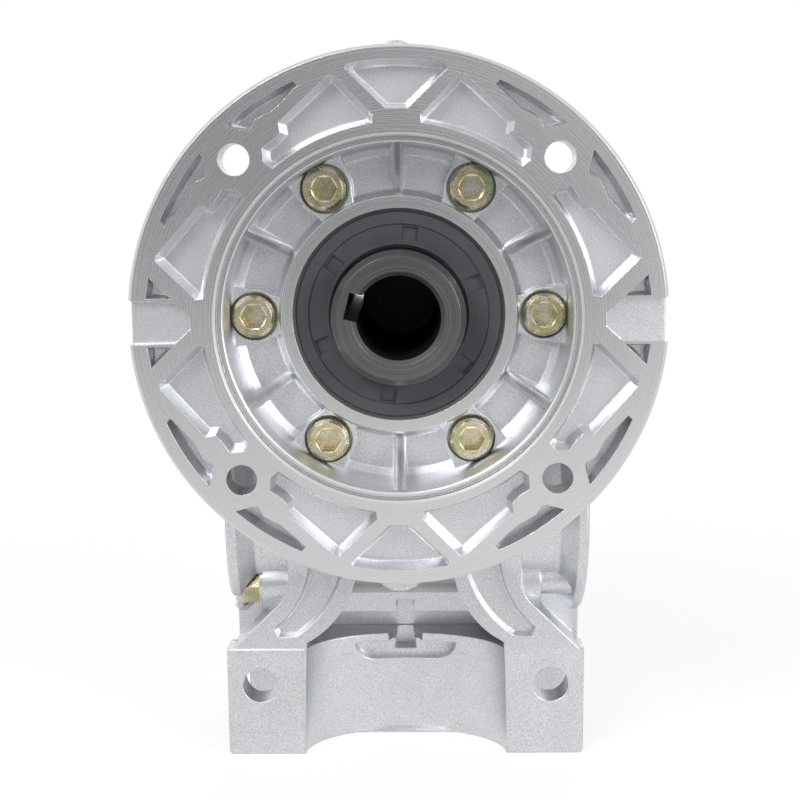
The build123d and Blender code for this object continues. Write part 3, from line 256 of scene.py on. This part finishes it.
    def finished(self, colour: bpy.types.NodeSocket, grain: bpy.types.NodeSocket,
                 roughness: tuple[float, float], relief: float, edge: float) -> bpy.types.Material:
        """Give the shader its colour, roughness and relief.

        Args:
            colour: colour of the surface.
            grain: noise field that roughness and relief follow.
            roughness: roughness at the low and at the high values of the grain.
            relief: depth of the grain in metres.
            edge: radius by which edges look rounded, in metres.

        Returns:
            The finished material.
        """
        self.join(colour, self.shader.inputs["Base Color"])
        self.join(self.grained(grain, *roughness), self.shader.inputs["Roughness"])
        self.bump(grain, relief, self.soft_edges(edge))
        return self.material


@dataclass(frozen=True)
class BlastedCasting:
    """Aluminium casting, blasted to a fine silver grain."""

    name: str = "blasted_casting"
    dark: Colour = (0.46, 0.47, 0.49)
    light: Colour = (0.80, 0.81, 0.83)
    grain: float = 0.35 * MM
    grain_share: tuple[float, float] = (-0.1, 0.85)
    cloud: float = 9 * MM
    cloud_share: float = 0.25
    edge: float = 0.7 * MM
    relief: float = 0.06 * MM
    roughness: tuple[float, float] = (0.44, 0.28)
    metallic: float = 0.95

    def build(self) -> bpy.types.Material:
        """Make the material."""
        graph = Graph(self.name)
        graph.set(Metallic=self.metallic)
        place = graph.coordinates()
        grain = graph.noise(place, self.grain, 3)
        cloud = graph.noise(place, self.cloud)
        tone = graph.weighted(cloud, self.cloud_share, graph.grained(grain, *self.grain_share))
        colour = graph.blend(tone, self.dark, self.light)
        return graph.finished(colour, grain, self.roughness, self.relief, self.edge)


@dataclass(frozen=True)
class TurnedMetal:
    """Metal turned or ground on a lathe, with fine rings about its axis."""

    name: str
    turning: Turning
    dark: Colour = (0.60, 0.60, 0.605)
    light: Colour = (0.66, 0.66, 0.665)
    ring: float = 0.22 * MM
    ring_share: float = 0.7
    band: float = 1.98 * MM
    band_share: float = 0.4
    relief: float = 0.0002 * MM
    roughness: tuple[float, float] = (0.22, 0.35)
    anisotropy: float = 0.4
    edge: float = 0.15 * MM

    def build(self) -> bpy.types.Material:
        """Make the material."""
        graph = Graph(self.name)
        graph.set(Metallic=1.0, Anisotropic=self.anisotropy)
        ring = graph.rings(self.turning, self.ring)
        band = graph.rings(self.turning, self.band, 1)
        tone = graph.weighted(band, self.band_share, graph.grained(ring, 0.0, self.ring_share))
        tangent = graph.tree.nodes.new("ShaderNodeTangent")
        tangent.direction_type = "RADIAL"
        tangent.axis = self.turning.value
        graph.join(tangent.outputs["Tangent"], graph.shader.inputs["Tangent"])
        colour = graph.blend(tone, self.dark, self.light)
        return graph.finished(colour, ring, self.roughness, self.relief, self.edge)


@dataclass(frozen=True)
class YellowZinc:
    """Steel with yellow passivated zinc, its tint drifting from green over gold to a pale sheen."""

    name: str = "yellow_zinc"
    tints: tuple[tuple[float, Colour], ...] = (
        (0.36, (0.46, 0.50, 0.28)), (0.5, (0.66, 0.57, 0.36)), (0.66, (0.70, 0.67, 0.58)))
    drift: float = 5 * MM
    grain: float = 0.4 * MM
    relief: float = 0.02 * MM
    roughness: tuple[float, float] = (0.20, 0.36)
    edge: float = 0.2 * MM

    def build(self) -> bpy.types.Material:
        """Make the material."""
        graph = Graph(self.name)
        graph.set(Metallic=1.0)
        place = graph.coordinates()
        ramp = graph.tree.nodes.new("ShaderNodeValToRGB")
        elements = ramp.color_ramp.elements
        elements.remove(elements[0])
        elements[0].position, colour = self.tints[0]
        elements[0].color = (*colour, 1)
        for position, colour in self.tints[1:]:
            elements.new(position).color = (*colour, 1)
        graph.join(graph.noise(place, self.drift), ramp.inputs["Fac"])
        grain = graph.noise(place, self.grain)
        return graph.finished(ramp.outputs["Color"], grain, self.roughness, self.relief, self.edge)


@dataclass(frozen=True)
class MouldedRubber:
    """Moulded rubber or plastic with a faint grain."""

    name: str
    dark: Colour = (0.028, 0.028, 0.036)
    light: Colour = (0.050, 0.050, 0.060)
    grain: float = 0.5 * MM
    cloud: float = 7 * MM
    relief: float = 0.02 * MM
    roughness: tuple[float, float] = (0.40, 0.56)
    specular: float = 0.55
    edge: float = 0.25 * MM

    def build(self) -> bpy.types.Material:
        """Make the material."""
        graph = Graph(self.name)
        graph.set(Specular_IOR_Level=self.specular)
        place = graph.coordinates()
        grain = graph.noise(place, self.grain, 3)
        colour = graph.blend(graph.noise(place, self.cloud), self.dark, self.light)
        return graph.finished(colour, grain, self.roughness, self.relief, self.edge)


@dataclass(frozen=True)
class PlainMetal:
    """Metal with a fine even grain, such as a key, a ball or a sheet ring."""

    name: str
    dark: Colour
    light: Colour
    roughness: tuple[float, float]
    grain: float = 0.6 * MM
    relief: float = 0.01 * MM
    metallic: float = 1.0
    edge: float = 0.2 * MM

    def build(self) -> bpy.types.Material:
        """Make the material."""
        graph = Graph(self.name)
        graph.set(Metallic=self.metallic)
        grain = graph.noise(graph.coordinates(), self.grain, 3)
        colour = graph.blend(grain, self.dark, self.light)
        return graph.finished(colour, grain, self.roughness, self.relief, self.edge)


Chooser = Callable[[bmesh.types.BMFace], Surface]


def finish_of(node: str, material: bpy.types.Material) -> bpy.types.Object:
    """Give a CAD node one material on all its slots.

    Args:
        node: name of the CAD node.
        material: the material.

    Returns:
        The node's object.
    """
    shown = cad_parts[node]
    shown.data.materials.clear()
    shown.data.materials.append(material)
    return shown


def drop_inner_faces(mesh: bmesh.types.BMesh, reach: float = 0.005 * MM, flat: float = 0.9999,
                     facing: float = -0.999, inset: float = 0.85) -> None:
    """Take out the flat faces at which sections of one casting meet.

    Args:
        mesh: mesh of all the sections.
        reach: distance within which two faces count as touching.
        flat: least share of one axis in the normal of a face that is tested.
        facing: most that the normals of two touching faces may have in common.
        inset: how far from a face's centre towards its corners it is tested, as a share.
    """
    tree = BVHTree.FromBMesh(mesh)
    inner = []
    for face in mesh.faces:
        normal = face.normal.copy()
        if max(abs(part) for part in normal) < flat:
            continue
        centre = face.calc_center_median()
        points = [centre] + [centre.lerp(vertex.co, inset) for vertex in face.verts]
        touched = (tree.find_nearest_range(point, reach) for point in points)
        if all(any(hit[1].dot(normal) < facing for hit in hits) for hits in touched):
            inner.append(face)
    bmesh.ops.delete(mesh, geom=inner, context="FACES")


@dataclass
class CopyOfNodes:
    """Copy of one or more CAD nodes as one piece whose faces take their own finishes."""

    name: str
    nodes: tuple[str, ...]
    body: str
    slot: str
    materials: list[bpy.types.Material]
    chooser: Chooser
    smooth_angle: float = math.radians(28)
    merge: float = 0.001 * MM
    piece: bpy.types.Object = field(init=False)

    def build(self) -> bpy.types.Object:
        """Copy, join, sort the faces and stand in for the nodes.

        Returns:
            The new piece, riding on its body.
        """
        mesh = bmesh.new()
        for node in self.nodes:
            mesh.from_mesh(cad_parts[node].data)
        mesh.normal_update()
        drop_inner_faces(mesh)
        bmesh.ops.remove_doubles(mesh, verts=mesh.verts, dist=self.merge)
        for face in mesh.faces:
            face.material_index = self.chooser(face).value
            face.smooth = True
        for edge in mesh.edges:
            edge.smooth = len(edge.link_faces) == 2 and edge.calc_face_angle(0.0) < self.smooth_angle
        data = bpy.data.meshes.new(self.name)
        mesh.to_mesh(data)
        mesh.free()
        if "custom_normal" in data.attributes:
            data.attributes.remove(data.attributes["custom_normal"])
        for material in self.materials:
            data.materials.append(material)
        self.piece = bpy.data.objects.new(self.name, data)
        bpy.context.scene.collection.objects.link(self.piece)
        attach(self.piece, self.body)
        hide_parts(*self.nodes)
        return self.piece


def made(finish: type, *values: Any, **named: Any) -> Any:
    """Give a dataclass field that makes its finish when the palette is made.

    Args:
        finish: class of the finish.
        values: its values in order.
        named: its values by name.

    Returns:
        The dataclass field.
    """
    return field(default_factory=lambda: finish(*values, **named).build())


@dataclass
class Palette:
    """All the finishes of the reducer, each made once."""

    casting: bpy.types.Material = made(BlastedCasting)
    faced: bpy.types.Material = made(TurnedMetal, "faced_aluminium", Turning.OUTPUT)
    rim_faced: bpy.types.Material = made(TurnedMetal, "faced_worm_rim", Turning.WORM)
    shaft: bpy.types.Material = made(
        TurnedMetal, "ground_shaft", Turning.OUTPUT, dark=(0.12, 0.12, 0.122), light=(0.22, 0.22, 0.222),
        roughness=(0.23, 0.36))
    # Painted shade: the bore's near-black colour stands in for the shade inside the bore and its keyway.
    bore: bpy.types.Material = made(
        PlainMetal, "oiled_bore", dark=(0.025, 0.025, 0.032), light=(0.05, 0.05, 0.06),
        roughness=(0.44, 0.58))
    worm: bpy.types.Material = made(
        TurnedMetal, "ground_worm", Turning.WORM, dark=(0.16, 0.16, 0.162), light=(0.3, 0.3, 0.302),
        roughness=(0.23, 0.36))
    zinc: bpy.types.Material = made(YellowZinc)
    seal: bpy.types.Material = made(MouldedRubber, "seal_rubber")
    black: bpy.types.Material = made(
        MouldedRubber, "black_cap", dark=(0.008, 0.008, 0.009), light=(0.018, 0.018, 0.02))
    bronze: bpy.types.Material = made(
        PlainMetal, "wheel_bronze", dark=(0.5, 0.3, 0.12), light=(0.66, 0.43, 0.2), roughness=(0.24, 0.38))
    iron: bpy.types.Material = made(
        PlainMetal, "hub_iron", dark=(0.12, 0.12, 0.125), light=(0.25, 0.25, 0.255), roughness=(0.49, 0.63),
        grain=0.8 * MM, relief=0.06 * MM)
    steel: bpy.types.Material = made(
        PlainMetal, "bright_steel", dark=(0.5, 0.5, 0.51), light=(0.62, 0.62, 0.63), roughness=(0.14, 0.28))
    spring: bpy.types.Material = made(
        PlainMetal, "spring_steel", dark=(0.05, 0.05, 0.055), light=(0.1, 0.1, 0.11), roughness=(0.36, 0.50))
    cage: bpy.types.Material = made(
        PlainMetal, "cage_brass", dark=(0.6, 0.45, 0.18), light=(0.74, 0.58, 0.28), roughness=(0.28, 0.42))
    washer: bpy.types.Material = made(
        PlainMetal, "washer_aluminium", dark=(0.62, 0.62, 0.63), light=(0.75, 0.75, 0.76),
        roughness=(0.28, 0.42))
    gasket: bpy.types.Material = made(
        PlainMetal, "gasket_fibre", dark=(0.12, 0.11, 0.1), light=(0.2, 0.19, 0.17), roughness=(0.79, 0.93),
        grain=0.5 * MM, relief=0.05 * MM, metallic=0.0)


@dataclass
class OutputFlange:
    """Round output flange: faced front, register and seal seat, the rest cast."""

    palette: Palette
    register_depth: float = 3 * MM
    register_r: float = 52.5 * MM
    register_band: tuple[float, float] = (-2.2 * MM, 1 * MM)
    ring_depth: float = 20 * MM
    ring_r: float = 36.0 * MM
    ring_width: float = 3.5 * MM
    rim_depth: float = 9.2 * MM
    rim_reach: float = 0.9 * MM
    hole_r: float = 4.5 * MM
    hole_place: float = 65 * MM * math.sqrt(0.5)
    tolerance: float = 0.2 * MM
    hole_tolerance: float = 0.06 * MM
    facing: float = 0.9
    sideways: float = 0.2

    def surface(self, face: bmesh.types.BMFace) -> Surface:
        """Tell a faced place from a cast one by where it lies.

        Args:
            face: a face of the flange.

        Returns:
            Its finish.
        """
        centre = face.calc_center_median()
        radius = math.hypot(centre.x, centre.z)
        depth = centre.y - FACE_Y
        towards_front = face.normal.y < -self.facing
        from_hole = math.hypot(abs(centre.x) - self.hole_place, abs(centre.z) - self.hole_place)
        low, high = self.register_band
        front = towards_front and depth < self.tolerance
        register = (depth <= self.register_depth + self.tolerance / 2
                    and self.register_r + low < radius < self.register_r + high)
        ring = (towards_front and abs(depth - self.ring_depth) < self.tolerance
                and radius < self.ring_r + self.tolerance)
        seat = radius < self.ring_r - self.ring_width
        rim = (radius > FLANGE_R - self.rim_reach and depth < self.rim_depth
               and abs(face.normal.y) < self.facing)
        hole = from_hole < self.hole_r + self.hole_tolerance and abs(face.normal.y) < self.sideways
        return Surface.FACED if front or register or ring or seat or rim or hole else Surface.CAST

    def build(self) -> list[bpy.types.Object]:
        """Make the flange's shown piece."""
        skin = CopyOfNodes("output_flange_skin", FLANGE_NODES, "casing", "cast_aluminium",
                           [self.palette.casting, self.palette.faced], self.surface)
        return [skin.build(), finish_of("flange_gasket", self.palette.gasket)]


@dataclass
class Housing:
    """Cast housing with faced feet, and with faced rims at both ends of the worm tube."""

    palette: Palette
    facing: float = 0.9
    tolerance: float = 0.1 * MM

    def surface(self, face: bmesh.types.BMFace) -> Surface:
        """Tell a faced place from a cast one by where it lies.

        Args:
            face: a face of the housing.

        Returns:
            Its finish.
        """
        centre = face.calc_center_median()
        from_rims = min(abs(centre.x - place) for place in (INPUT_FACE_X, END_FACE_X))
        if abs(face.normal.x) > self.facing and from_rims < self.tolerance:
            return Surface.BORED
        if face.normal.z < -self.facing and centre.z < BASE_Z + self.tolerance:
            return Surface.FACED
        return Surface.CAST

    def build(self) -> list[bpy.types.Object]:
        """Make the housing's shown piece."""
        materials = [self.palette.casting, self.palette.faced, self.palette.rim_faced]
        return [CopyOfNodes("housing_skin", HOUSING_NODES, "casing", "cast_aluminium", materials,
                            self.surface).build()]


@dataclass
class RearEnd:
    """Rear cover with its gasket and seal."""

    palette: Palette

    def build(self) -> list[bpy.types.Object]:
        """Dress the rear cover, its gasket and its seal."""
        return [finish_of("rear_cover", self.palette.casting), finish_of("rear_gasket", self.palette.gasket),
                finish_of("rear_seal", self.palette.seal)]


@dataclass
class OutputShaft:
    """Hollow output shaft with its bore, its cap and the front seal; the bore and its keyway are painted
    near black as painted shade for the deep hole.
    """

    palette: Palette
    bored_r: float = 16.2 * MM
    sideways: float = 0.3

    def surface(self, face: bmesh.types.BMFace) -> Surface:
        """Tell the bore and its keyway from the ground outside.

        Args:
            face: a face of the shaft.

        Returns:
            Its finish.
        """
        centre = face.calc_center_median()
        inner = math.hypot(centre.x, centre.z) < self.bored_r
        return Surface.BORED if abs(face.normal.y) < self.sideways and inner else Surface.FACED

    def build(self) -> list[bpy.types.Object]:
        """Dress the output shaft, its cap and the front seal."""
        # The third material, for the bore and keyway, is painted shade.
        materials = [self.palette.shaft, self.palette.shaft, self.palette.bore]
        shaft = CopyOfNodes("output_shaft_skin", ("output_shaft",), "output_rotor", "ground_steel",
                            materials, self.surface)
        return [shaft.build(), finish_of("bore_end_cap", self.palette.black),
                finish_of("front_seal", self.palette.seal)]


@dataclass
class Fasteners:
    """Screws and oil plugs."""

    palette: Palette

    def build(self) -> list[bpy.types.Object]:
        """Dress the screws, plugs and washers."""
        plated = [finish_of(node, self.palette.zinc)
                  for node in ("flange_screws", "rear_screws", "drain_plug", "filler_plug")]
        washers = [finish_of(node, self.palette.washer) for node in ("drain_washer", "filler_washer")]
        return plated + washers


@dataclass
class GearPair:
    """Worm, wheel and their key."""

    palette: Palette

    def build(self) -> list[bpy.types.Object]:
        """Dress the gear pair."""
        return [finish_of("worm_shaft", self.palette.worm), finish_of("wheel_rim", self.palette.bronze),
                finish_of("wheel_hub", self.palette.iron), finish_of("wheel_key", self.palette.steel)]


@dataclass
class WormEnds:
    """Seal, circlips and closing cap at the ends of the worm tube."""

    palette: Palette

    def build(self) -> list[bpy.types.Object]:
        """Dress the worm tube's ends."""
        circlips = [finish_of(node, self.palette.spring) for node in ("input_circlip", "end_circlip")]
        return [finish_of("input_seal", self.palette.seal),
                finish_of("worm_end_cap", self.palette.black), *circlips]


@dataclass
class Bearings:
    """Four ball bearings."""

    palette: Palette
    names: tuple[str, ...] = ("front_bearing", "rear_bearing", "input_bearing", "end_bearing")

    def build(self) -> list[bpy.types.Object]:
        """Dress rings, balls and cages."""
        shown = []
        for name in self.names:
            for part in ("outer_ring", "inner_ring", "balls"):
                shown.append(finish_of(name + "_" + part, self.palette.steel))
            shown.append(finish_of(name + "_cage", self.palette.cage))
        return shown


@dataclass(frozen=True)
class Lamp:
    """Square soft lamp: its place, the length of its side and its power."""

    name: str
    place: Place
    size: float
    watts: float


@dataclass
class Studio:
    """Camera, world, floor, dark card and lamps."""

    camera_place: Place = (4.1 * MM, -451.1 * MM, 37.2 * MM)
    pitch: float = math.radians(8.64)
    yaw: float = math.radians(-0.55)
    roll: float = math.radians(-0.48)
    lens: float = 62.24
    sensor: float = 36
    clip_start: float = 0.01
    ambient: float = 0.3
    floor_reach: float = 3.0
    floor_colour: Colour = (0.9, 0.9, 0.9)
    floor_share: float = 0.8
    white: Colour = (1, 1, 1)
    white_from: float = 0.16
    white_to: float = 0.42
    card_centre: Place = (-0.16, -0.9, 0.0)
    card_reach: tuple[float, float] = (0.40, 0.34)
    card_colour: Colour = (0.22, 0.22, 0.23)
    lamp_aim: Place = (0, 0, -0.03)
    lamps: tuple[Lamp, ...] = (
        Lamp("upper_left", (-0.5, -0.7, 0.65), 0.45, 9.0),
        Lamp("right", (0.85, -0.7, 0.3), 0.5, 8.0),
        Lamp("rear_top", (0.1, 0.8, 0.8), 0.6, 6.0))

    def camera(self) -> None:
        """Place the camera at the photograph's view."""
        forward = Vector((math.sin(self.yaw) * math.cos(self.pitch),
                          math.cos(self.yaw) * math.cos(self.pitch), -math.sin(self.pitch)))
        level = forward.cross(Vector((0, 0, 1))).normalized()
        upright = level.cross(forward)
        right = math.cos(self.roll) * level + math.sin(self.roll) * upright
        up = math.cos(self.roll) * upright - math.sin(self.roll) * level
        data = bpy.data.cameras.new("camera")
        data.sensor_width = self.sensor
        data.lens = self.lens
        data.clip_start = self.clip_start
        shot = bpy.data.objects.new("camera", data)
        turn = Matrix((right, up, -forward)).transposed().to_4x4()
        shot.matrix_world = Matrix.Translation(self.camera_place) @ turn
        bpy.context.scene.collection.objects.link(shot)
        bpy.context.scene.camera = shot

    def seen(self, tree: bpy.types.NodeTree) -> bpy.types.NodeSocket:
        """Give 1 where a ray comes from the camera, a mirror or a glass.

        Args:
            tree: node tree the nodes are made in.

        Returns:
            The socket.
        """
        path = tree.nodes.new("ShaderNodeLightPath")
        total = path.outputs["Is Camera Ray"]
        for name in ("Is Glossy Ray", "Is Transmission Ray"):
            node = tree.nodes.new("ShaderNodeMath")
            node.operation = "MAXIMUM"
            tree.links.new(total, node.inputs[0])
            tree.links.new(path.outputs[name], node.inputs[1])
            total = node.outputs[0]
        return total

    def world(self) -> None:
        """Make the white surroundings."""
        world = bpy.data.worlds.new("studio")
        bpy.context.scene.world = world
        world.use_nodes = True
        tree = world.node_tree
        tree.nodes.clear()
        output = tree.nodes.new("ShaderNodeOutputWorld")
        back = tree.nodes.new("ShaderNodeBackground")
        back.inputs["Color"].default_value = (*self.white, 1)
        strength = tree.nodes.new("ShaderNodeMapRange")
        strength.inputs["To Min"].default_value = self.ambient
        strength.inputs["To Max"].default_value = 1.0
        tree.links.new(self.seen(tree), strength.inputs["Value"])
        tree.links.new(strength.outputs["Result"], back.inputs["Strength"])
        tree.links.new(back.outputs["Background"], output.inputs["Surface"])

    def sheet(self, name: str, corners: list[Place], material: bpy.types.Material) -> bpy.types.Object:
        """Make a flat sheet.

        Args:
            name: name of the sheet.
            corners: its four corners in order.
            material: its material.

        Returns:
            The new object.
        """
        data = bpy.data.meshes.new(name)
        data.from_pydata(corners, [], [(0, 1, 2, 3)])
        data.materials.append(material)
        flat = bpy.data.objects.new(name, data)
        bpy.context.scene.collection.objects.link(flat)
        return flat

    def floor(self) -> None:
        """Lay the pale floor under the feet, which turns white away from the reducer."""
        material = bpy.data.materials.new("floor")
        material.use_nodes = True
        tree = material.node_tree
        tree.nodes.clear()
        output = tree.nodes.new("ShaderNodeOutputMaterial")
        matt = tree.nodes.new("ShaderNodeBsdfDiffuse")
        matt.inputs["Color"].default_value = (*self.floor_colour, 1)
        white = tree.nodes.new("ShaderNodeEmission")
        white.inputs["Color"].default_value = (*self.white, 1)
        mix = tree.nodes.new("ShaderNodeMixShader")
        away = tree.nodes.new("ShaderNodeVectorMath")
        away.operation = "LENGTH"
        tree.links.new(tree.nodes.new("ShaderNodeTexCoord").outputs["Object"], away.inputs[0])
        whiter = tree.nodes.new("ShaderNodeMapRange")
        whiter.interpolation_type = "SMOOTHSTEP"
        whiter.inputs["From Min"].default_value = self.white_from
        whiter.inputs["From Max"].default_value = self.white_to
        whiter.inputs["To Min"].default_value = self.floor_share
        whiter.inputs["To Max"].default_value = 1.0
        tree.links.new(away.outputs["Value"], whiter.inputs["Value"])
        share = tree.nodes.new("ShaderNodeMath")
        share.operation = "MULTIPLY"
        tree.links.new(whiter.outputs["Result"], share.inputs[1])
        tree.links.new(self.seen(tree), share.inputs[0])
        tree.links.new(share.outputs[0], mix.inputs["Fac"])
        tree.links.new(matt.outputs["BSDF"], mix.inputs[1])
        tree.links.new(white.outputs["Emission"], mix.inputs[2])
        tree.links.new(mix.outputs["Shader"], output.inputs["Surface"])
        reach = self.floor_reach
        corners = [(-reach, -reach, BASE_Z), (reach, -reach, BASE_Z), (reach, reach, BASE_Z),
                   (-reach, reach, BASE_Z)]
        floor = self.sheet("floor", corners, material)

    def dark_card(self) -> None:
        """Stand a dark card behind the camera, which bright metal mirrors as in a studio."""
        material = bpy.data.materials.new("dark_card")
        material.use_nodes = True
        shader = material.node_tree.nodes["Principled BSDF"]
        shader.inputs["Base Color"].default_value = (*self.card_colour, 1)
        x, y, z = self.card_centre
        wide, high = self.card_reach
        corners = [(x - wide, y, z - high), (x + wide, y, z - high), (x + wide, y, z + high),
                   (x - wide, y, z + high)]
        card = self.sheet("dark_card", corners, material)
        card.visible_camera = False
        card.visible_shadow = False

    def hang(self, lamp: Lamp) -> None:
        """Hang a lamp that looks at the reducer.

        Args:
            lamp: the lamp.
        """
        data = bpy.data.lights.new(lamp.name, "AREA")
        data.size = lamp.size
        data.energy = lamp.watts
        light = bpy.data.objects.new(lamp.name, data)
        light.location = lamp.place
        aim = Vector(self.lamp_aim) - Vector(lamp.place)
        light.rotation_euler = aim.to_track_quat("-Z", "Y").to_euler()
        bpy.context.scene.collection.objects.link(light)

    def build(self) -> None:
        """Set up camera, world, floor, card and lamps."""
        self.camera()
        self.world()
        self.floor()
        self.dark_card()
        for lamp in self.lamps:
            self.hang(lamp)
        bpy.context.scene.view_settings.view_transform = "Standard"


def main() -> None:
    """Build the studio and each sub-assembly in order."""
    logging.basicConfig(level=logging.INFO, format="%(message)s")
    Studio().build()
    palette = Palette()
    for assembly in (OutputFlange, Housing, RearEnd, OutputShaft, Fasteners, GearPair, WormEnds, Bearings):
        for piece in assembly(palette).build():
            log.info("%s: %s, %d faces", assembly.__name__, piece.name, len(piece.data.polygons))


if __name__ == "__main__":
    main()
